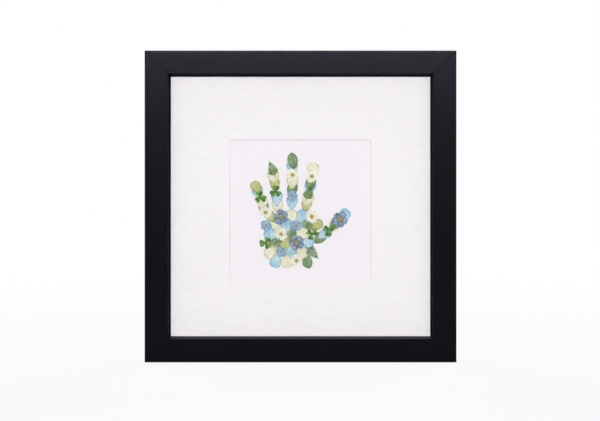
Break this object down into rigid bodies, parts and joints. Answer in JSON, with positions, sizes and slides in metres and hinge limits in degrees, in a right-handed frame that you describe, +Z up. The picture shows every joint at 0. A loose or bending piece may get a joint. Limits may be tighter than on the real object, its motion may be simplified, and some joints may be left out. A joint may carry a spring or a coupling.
{
  "type": "square picture frame with easel back",
  "caption": "Square black picture frame with a bevel-cut white mat, a child's handprint laid in pressed flowers under glass, turn buttons, an easel strut and a sawtooth hanger.",
  "frame": {"origin": "middle of the whole depth and width, at the underside of the bottom rail, which the frame stands on", "axes": "+Z up the upright frame, the glass faces -Y, +X to the right of someone who looks at the front"},
  "size_m": [0.229, 0.0244, 0.229],
  "materials": {
    "black_lacquer": "satin black lacquer, grain filled, thin line at each mitre",
    "clear_glass": "clear 2 mm float glass, faint green at the edge",
    "white_mat_board": "warm white conservation mat with a faint linen grain and a white core at the bevel",
    "print_paper": "smooth white art board with a slight lavender cast",
    "grey_board": "plain grey filler board",
    "black_backed_hardboard": "hardboard with a dull black painted back",
    "black_faced_board": "board with a black pebbled paper face",
    "zinc_steel": "pressed zinc-plated steel",
    "nail_steel": "bright zinc-plated steel",
    "blue_petal": "pressed petal, matt, veined",
    "cream_petal": "pressed petal, matt, veined",
    "olive_petal": "pressed petal, matt, veined",
    "sage_leaf": "pressed leaf, matt, with a midrib",
    "fern_green": "pressed frond, matt",
    "clover_green": "pressed clover leaf, matt, paler chevrons",
    "forget_me_not_blue": "pressed flower, matt",
    "daisy_white": "pressed flower, matt",
    "slate_petal": "pressed blossom, matt, crumpled",
    "pollen_yellow": "dried flower centre"
  },
  "bodies": {
    "frame": {"bottom_rail": "black_lacquer", "left_rail": "black_lacquer", "top_rail": "black_lacquer", "right_rail": "black_lacquer", "mitre_nails": "nail_steel", "glass_pane": "clear_glass", "window_mat": "white_mat_board", "print_board": "print_paper", "filler_board": "grey_board", "back_panel": "black_backed_hardboard", "blue_petals": "blue_petal", "cream_petals": "cream_petal", "olive_petals": "olive_petal", "sage_leaves": "sage_leaf", "fern_tips": "fern_green", "clover_leaves": "clover_green", "forget_me_nots": "forget_me_not_blue", "daisies": "daisy_white", "slate_blossoms": "slate_petal", "flower_eyes": "pollen_yellow", "hinge_panel_leaf": "zinc_steel", "hinge_pin": "nail_steel", "panel_rivets": "nail_steel", "turn_button_screws": "nail_steel", "sawtooth_hanger": "zinc_steel", "hanger_nails": "nail_steel"},
    "strut": {"easel_strut": "black_faced_board", "hinge_strut_leaf": "zinc_steel", "strut_rivets": "nail_steel"},
    "button_top_left": {"turn_button_top_left": "zinc_steel"},
    "button_top_right": {"turn_button_top_right": "zinc_steel"},
    "button_right": {"turn_button_right": "zinc_steel"},
    "button_bottom_right": {"turn_button_bottom_right": "zinc_steel"},
    "button_bottom_left": {"turn_button_bottom_left": "zinc_steel"},
    "button_left": {"turn_button_left": "zinc_steel"}
  },
  "joints": [
    {"name": "easel_hinge", "type": "hinge", "parent": "frame", "child": "strut", "pos_m": [0, 0.0095, 0.154], "axis": [1, 0, 0], "range_deg": [0, 30]},
    {"name": "turn_top_left", "type": "hinge", "parent": "frame", "child": "button_top_left", "pos_m": [-0.0745, 0.0083, 0.223], "axis": [0, 1, 0], "continuous": true},
    {"name": "turn_top_right", "type": "hinge", "parent": "frame", "child": "button_top_right", "pos_m": [0.0745, 0.0083, 0.223], "axis": [0, 1, 0], "continuous": true},
    {"name": "turn_right", "type": "hinge", "parent": "frame", "child": "button_right", "pos_m": [0.1085, 0.0083, 0.1145], "axis": [0, 1, 0], "continuous": true},
    {"name": "turn_bottom_right", "type": "hinge", "parent": "frame", "child": "button_bottom_right", "pos_m": [0.0745, 0.0083, 0.006], "axis": [0, 1, 0], "continuous": true},
    {"name": "turn_bottom_left", "type": "hinge", "parent": "frame", "child": "button_bottom_left", "pos_m": [-0.0745, 0.0083, 0.006], "axis": [0, 1, 0], "continuous": true},
    {"name": "turn_left", "type": "hinge", "parent": "frame", "child": "button_left", "pos_m": [-0.1085, 0.0083, 0.1145], "axis": [0, 1, 0], "continuous": true}
  ]
}
